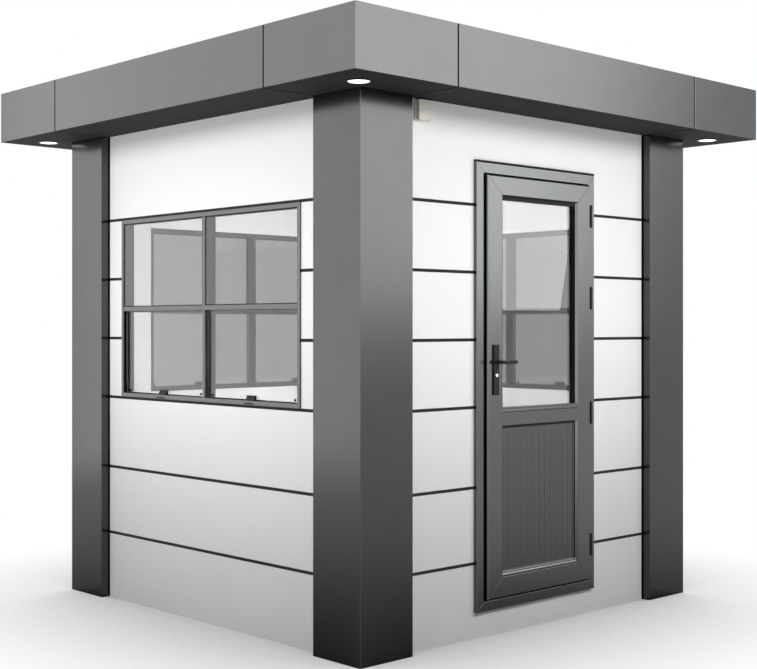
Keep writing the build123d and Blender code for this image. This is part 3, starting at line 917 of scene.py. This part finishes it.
# %% Door frame
frame_u, frame_v, frame_w = wall_box("door_frame")
face_width = 0.046
head_width = 0.0515
stop_width = 0.066
stop_w = -0.027
door_frame_profile = [
    (0, frame_w[0]), (stop_width, frame_w[0]), (stop_width, stop_w), (face_width, stop_w),
    (face_width, frame_w[1] - 0.002), (face_width - 0.002, frame_w[1]), (0.004, frame_w[1]),
    (0, frame_w[1] - 0.003),
]
frame_members = bmesh.new()
add_members(frame_members, 0, (frame_u, frame_v), door_frame_profile, (1, 1, 1, head_width / face_width))
make_piece("door_frame_members", frame_members, "door_profile", stands_for=["door_frame"], edge=0.0008)

# %% [markdown]
# ## The door's leaf
# The leaf is mitred as well, and a middle rail is set between its stiles. Its front edge is broken by
# a wide bevel. The hole for the handle's spindle is a turned rod taken away from the left stile.

# %% Door leaf
leaf_u, leaf_v, leaf_w = wall_box("door_leaf")
stile = 0.095
foot_rail = 0.094
head_rail = 0.0885
leaf_head = leaf_v[1] - 0.0045
middle_rail = (0.952, 1.011)
leaf_bevel = 0.007
opening_bevel = 0.0016
handle_u = -0.320
handle_v = 1.243
spindle_radius = 0.006
leaf_profile = [
    (0, leaf_w[0]), (stile, leaf_w[0]), (stile, leaf_w[1] - opening_bevel),
    (stile - opening_bevel, leaf_w[1]), (leaf_bevel, leaf_w[1]), (0.003, leaf_w[1] - 0.003),
    (0, leaf_w[1] - leaf_bevel),
]
through = Vector((0, -1, 0))
leaf_members = bmesh.new()
rails_stretch = (1, 1, foot_rail / stile, head_rail / stile)
add_members(leaf_members, 0, (leaf_u, (leaf_v[0], leaf_head)), leaf_profile, rails_stretch)
inner_u = leaf_u[1] - stile - hairline
add_block(leaf_members, 0, (-inner_u, inner_u), middle_rail, (leaf_w[0], leaf_w[1] - 0.0005))
rod = bmesh.new()
rod_foot = on_wall(0, handle_u, handle_v, leaf_w[0] - 0.01)
add_turned(rod, rod_foot, through, [(spindle_radius, 0), (spindle_radius, 0.09)])
cut = cut_away(leaf_members, rod)
make_piece("door_leaf_members", cut, "door_profile", body="door", stands_for=["door_leaf"], edge=0.0008)

# %% [markdown]
# ## Beads
# Beads hold the glass and the lower panel. A bead's front runs down to the pane in slopes and steps
# that catch the light as thin bright lines. The foot's bead is the widest one, so that rain runs off
# it, and its slopes are gentle. The others are steep, so that a side panel of the studio shows in
# them. One section for each, cut to 45 degrees, makes them all.

# %% Bead sections
opening_half = leaf_u[1] - stile
bead_width = 0.008
side_ridges = [(1.0, 0.013), (0.25, 0.001), (0.18, 0.0022), (0.0, 0.0022)]
foot_ridges = [
    (1.0, 0.0068), (0.80, 0.0042), (0.64, 0.0042), (0.60, 0.0056), (0.36, 0.003), (0.10, 0.003),
    (0.0, 0.0042),
]
bead_stretch = {"glass": (1, 1, 2.9, 0.45), "panel": (1, 1, 2.9, 0.4)}
openings = {
    "glass": ((middle_rail[1], leaf_v[1] - 0.093), wall_box("door_glass")[2]),
    "panel": ((leaf_v[0] + foot_rail, middle_rail[0]), wall_box("door_panel")[2]),
}
print("openings", openings)


def bead_section(seat, face, away, ridges):
    """From the bead's seat on the pane, up its inner side and over its ridges to the stile."""
    points = [(0, seat), (bead_width, seat)]
    for share, drop in ridges:
        points.append((bead_width * share, face - away * drop))
    return points


def both_sides(pane_w):
    """The pane's face, the leaf's face and the way out, for the door's outer and inner side."""
    return ((pane_w[1], leaf_w[1], 1), (pane_w[0], leaf_w[0], -1))


# %% Beads round both openings
beads = bmesh.new()
for kind, (opening_v, pane_w) in openings.items():
    bounds = ((-opening_half, opening_half), opening_v)
    for seat, face, away in both_sides(pane_w):
        for ridges, lengths in ((foot_ridges, ("foot",)), (side_ridges, ("right", "head", "left"))):
            section = bead_section(seat, face, away, ridges)
            add_members(beads, 0, bounds, section, bead_stretch[kind], lengths)
make_piece("glazing_beads", beads, "door_profile", "door", ["door_beads"], edge=0.0004, steps=1, sharp=50)

# %% [markdown]
# ## Gaskets in the door
# Black gaskets line the beads' inner sides, with a taller black band along the head of each opening.
# Another seal, a ring with a bevelled front, fills the groove between leaf and frame.

# %% Gaskets between beads and panes
gasket = 0.0008
# The head band is a plain black strip, taller than the gaskets at the sides.
head_black_band = {"glass": 0.0152, "panel": 0.010}
door_seals = bmesh.new()
for kind, (opening_v, pane_w) in openings.items():
    left, right, bottom, top = (bead_width * share for share in bead_stretch[kind])
    half = opening_half - left
    low, high = opening_v[0] + bottom, opening_v[1] - top
    for seat, face, away in both_sides(pane_w):
        reach = tuple(sorted((seat, face - away * side_ridges[0][1])))
        for u_range in ((-half, -half + gasket), (half - gasket, half)):
            add_block(door_seals, 0, u_range, (low, high - head_black_band[kind]), reach)
        add_block(door_seals, 0, (-half, half), (high - head_black_band[kind], high), reach)
make_piece("door_glass_seals", door_seals, "black_seal", body="door")

# %% Seal on the frame's step
step_seal_profile = [
    (0, stop_w), (0.016, stop_w), (0.016, stop_w + 0.003), (0.011, stop_w + 0.0055),
    (0.002, stop_w + 0.0055), (0, stop_w + 0.003),
]
doorway = tuple((low + face_width, high - face_width) for low, high in (frame_u, frame_v))
frame_seal = bmesh.new()
add_ring(frame_seal, 0, doorway, step_seal_profile)
make_piece("door_frame_seal", frame_seal, "black_seal")

# %% [markdown]
# ## Handle plates
# Long plates with soft corners carry the levers on both sides of the leaf. Each is a rounded outline
# given a thickness, and the holes for lever and lock are cut through both plates at once.

# %% Handle plates
plate_u, plate_v, _ = wall_box("handle_plates")
key_v = 1.183
plate_thickness = 0.007
plate_w = (leaf_w[0] - plate_thickness, leaf_w[1] + plate_thickness)
corner_steps = 5


def soft_outline(u_range, v_range, radius, inset=0.0):
    """The points of a rectangle with round corners, (u, v)."""
    u0, u1 = u_range[0] + inset + radius, u_range[1] - inset - radius
    v0, v1 = v_range[0] + inset + radius, v_range[1] - inset - radius
    points = []
    for cu, cv, start in ((u1, v0, -90), (u1, v1, 0), (u0, v1, 90), (u0, v0, 180)):
        for k in range(corner_steps + 1):
            angle = math.radians(start + 90 * k / corner_steps)
            points.append((cu + radius * math.cos(angle), cv + radius * math.sin(angle)))
    return points


plates = bmesh.new()
for inner, outer in ((leaf_w[1], plate_w[1]), (leaf_w[0], plate_w[0])):
    add_plate(plates, 0, soft_outline(plate_u, plate_v, 0.005), (inner, outer))
holes = bmesh.new()
for v, radius in ((handle_v, 0.0065), (key_v, 0.009)):
    add_turned(holes, on_wall(0, handle_u, v, leaf_w[0] - 0.02), through, [(radius, 0), (radius, 0.12)])
cut = cut_away(plates, holes)
make_piece("backplates", cut, "black_hardware", "door", ["handle_plates"], edge=0.0016, steps=3, sharp=60)

# %% [markdown]
# ## Lever
# A lever is cast: its round neck comes out of the plate and turns into a flat grip in one smooth bend.
# Bent tube would keep one section, so it is a loft, a row of soft-cornered outlines along a bent line,
# each with its own height and thickness.

# %% Stations along a lever
lever_gap = 0.0003
lever_reach = 0.0435
neck_radius = 0.009
neck_taper = 0.006
bend = 0.012
bend_steps = 9
grip_length = 0.092
grip_tall = 0.0080
loop_points = 20
squareness = 0.7


def lever_rows(base_w, away):
    """Each outline's u and w, the way it faces as (u, w), and its half height and half thickness."""
    end_w = base_w + away * lever_reach
    narrow = neck_radius * 0.86
    rows = [
        (handle_u, base_w, 0, away, neck_radius, neck_radius),
        (handle_u, base_w + away * neck_taper, 0, away, narrow, narrow),
        (handle_u, end_w - away * bend, 0, away, grip_tall, 0.0072),
    ]
    for k in range(1, bend_steps):
        angle = math.pi / 2 * k / bend_steps
        cos, sin = math.cos(angle), math.sin(angle)
        u, w = handle_u + bend * (1 - cos), end_w - away * bend * (1 - sin)
        rows.append((u, w, sin, away * cos, grip_tall, 0.0070))
    for share, shrink in ((0, 1), (0.25, 1), (0.5, 1), (0.75, 1), (0.93, 1), (0.985, 0.86), (1, 0.55)):
        u = handle_u + bend + (grip_length - bend) * share
        rows.append((u, end_w, 1, 0, grip_tall * shrink, 0.0063 * shrink))
    return rows


# %% The loft
def add_lever(shape, base_w, away):
    """Neck, bend and grip on one side of the leaf."""
    rings = []
    for u, w, facing_u, facing_w, tall, thick in lever_rows(base_w, away):
        ring = []
        for k in range(loop_points):
            c, s = math.cos(math.tau * k / loop_points), math.sin(math.tau * k / loop_points)
            across = math.copysign(abs(c) ** squareness, c) * thick
            up = math.copysign(abs(s) ** squareness, s) * tall
            place = on_wall(0, u - facing_w * across, handle_v + up, w + facing_u * across)
            ring.append(shape.verts.new(place))
        rings.append(ring)
    add_bands(shape, rings)
    shape.faces.new(rings[0][::-1])
    shape.faces.new(rings[-1])


spindle_half = 0.0035
lever = bmesh.new()
add_lever(lever, plate_w[1] + lever_gap, 1)
add_lever(lever, plate_w[0] - lever_gap, -1)
spindle_u = (handle_u - spindle_half, handle_u + spindle_half)
spindle_v = (handle_v - spindle_half, handle_v + spindle_half)
add_block(lever, 0, spindle_u, spindle_v, (plate_w[0] - 0.001, plate_w[1] + 0.001))
make_piece("lever_handles", lever, "black_hardware", body="lever", stands_for=["door_lever"], smooth=40)

# %% [markdown]
# ## Lock and plate screws
# The lock is a nickel cylinder under the lever, turned and then cut by a key slot on each side. A
# countersunk screw holds each end of a plate. Its head is turned too, with a dimple for its drive.

# %% Lock
key_outline = [(0.0085, 0), (0.0085, 0.0082), (0.0078, 0.009)]
slot_u = (handle_u - 0.001, handle_u + 0.001)
slot_v = (key_v - 0.0045, key_v + 0.0045)
cylinders, slots = bmesh.new(), bmesh.new()
for face, away in ((plate_w[1], 1), (plate_w[0], -1)):
    add_turned(cylinders, on_wall(0, handle_u, key_v, face - away * 0.006), through * away, key_outline, 32)
    add_block(slots, 0, slot_u, slot_v, sorted((face + away * 0.001, face + away * 0.01)))
cut = cut_away(cylinders, slots)
make_piece("key_cylinders", cut, "bright_metal", "door", ["lock_cylinders"], edge=0.0003, steps=1, sharp=50)

# %% Screws on the plates
screw_from_end = 0.012
plate_screw = [
    (0.0038, 0), (0.0038, 0.0009), (0.003, 0.0016), (0.0012, 0.0016), (0.0008, 0.0008),
    (0, 0.0006),
]
plate_screws = bmesh.new()
for face, away in ((plate_w[1], 1), (plate_w[0], -1)):
    for v in (plate_v[0] + screw_from_end, plate_v[1] - screw_from_end):
        seat = on_wall(0, handle_u, v, face - away * 0.0005)
        add_turned(plate_screws, seat, through * away, plate_screw, 20)
make_piece("backplate_screws", plate_screws, "black_hardware", body="door")

# %% [markdown]
# ## Hinges
# Each hinge has two knuckles on one pin. Small domed caps close the pin's ends: the upper one turns
# with the door and the lower one stays with the frame, so they are two pieces.

# %% Hinge caps
hinge_u = 0.373
hinge_w = 0.040
hinge_heights = (0.340, 0.984, 1.542, 1.941)
hinge_half = 0.051
cap = [(0.0066, 0), (0.0066, 0.0018), (0.0058, 0.0034), (0.0034, 0.0048), (0, 0.0053)]
for name, body, sign in (("hinge_top_caps", "door", 1), ("hinge_foot_caps", "booth", -1)):
    caps = bmesh.new()
    for height in hinge_heights:
        seat = on_wall(0, hinge_u, height + sign * (hinge_half - 0.0005), hinge_w)
        add_turned(caps, seat, Vector((0, 0, sign)), cap)
    make_piece(name, caps, "black_hardware", body=body)

# %% [markdown]
# ## Downlights
# A downlight has a trim ring over the hole's rim, a cup behind it and a frosted lens. All are round,
# so each is one outline turned about the lamp's own axis.

# %% Trim rings and lenses
trim_radius = 0.056
lamp_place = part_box("downlight_cans")[1].x - trim_radius
down = Vector((0, 0, -1))
trim_outline = [
    (trim_radius, 0.0), (trim_radius, 0.0015), (0.0545, 0.0034), (0.052, 0.004),
    (0.0475, 0.0038), (0.0455, 0.0026), (0.045, 0.0), (0.045, -0.044), (0.049, -0.044),
    (0.049, 0.0),
]
lens_outline = [
    (0.0448, 0), (0.0448, 0.0068), (0.043, 0.0080), (0.030, 0.0086), (0.015, 0.0089), (0, 0.009),
]
trims, lenses = bmesh.new(), bmesh.new()
for x in sides:
    for y in sides:
        middle = Vector((x * lamp_place, y * lamp_place, soffit))
        rings = turned_rings(trims, middle, down, trim_outline, 48)
        add_bands(trims, rings, closed_round=True)
        add_turned(lenses, middle + Vector((0, 0, 0.005)), down, lens_outline, 48)
make_piece("downlight_trims", trims, "black_hardware", stands_for=["downlight_cans"], smooth=50)
make_piece("downlight_diffusers", lenses, "lamp_lens", stands_for=["downlight_lenses"], smooth=40)

# %% [markdown]
# ## The small box
# A small housing sits under the roof edge: a back plate, and a cover that is a little smaller with
# soft edges. The step between the two reads as a real housing, where one block doesn't.

# %% Back plate and cover
box_u, box_v, box_w = wall_box("sensor_box")
box_radius = 0.006
cover_inset = 0.0025
housing = bmesh.new()
add_plate(housing, 0, soft_outline(box_u, box_v, box_radius), (0.0, 0.009))
add_plate(housing, 0, soft_outline(box_u, box_v, box_radius, cover_inset), (0.008, box_w[1]))
make_piece("small_housing", housing, "sensor_housing", "booth", ["sensor_box"], edge=0.003, steps=3, sharp=60)

# %% [markdown]
# ## Roof screws
# Rows of screws with wide washers hold a ribbed roof down through its crests. They are too fine for
# the frame, and a bare roof would look like a plate.

# %% Screws on the ribs
deck_low, deck_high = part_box("roof_deck")
rib_count = 11
rib_pitch = (deck_high.x - deck_low.x) / rib_count
screw_rows = 7
bare_ends = 0.28
screwed_length = deck_high.y - deck_low.y - bare_ends
roof_screw = [
    (0.009, -0.0005), (0.009, 0.001), (0.0078, 0.0018), (0.0048, 0.002), (0.0046, 0.0062),
    (0.0038, 0.0068), (0, 0.0068),
]
roof_screws = bmesh.new()
for k in range(rib_count):
    x = (k - (rib_count - 1) / 2) * rib_pitch
    for row in range(screw_rows):
        y = (row / (screw_rows - 1) - 0.5) * screwed_length
        add_turned(roof_screws, Vector((x, y, deck_high.z)), Vector((0, 0, 1)), roof_screw, 12)
make_piece("roof_screws", roof_screws, "galvanised_steel", smooth=35)
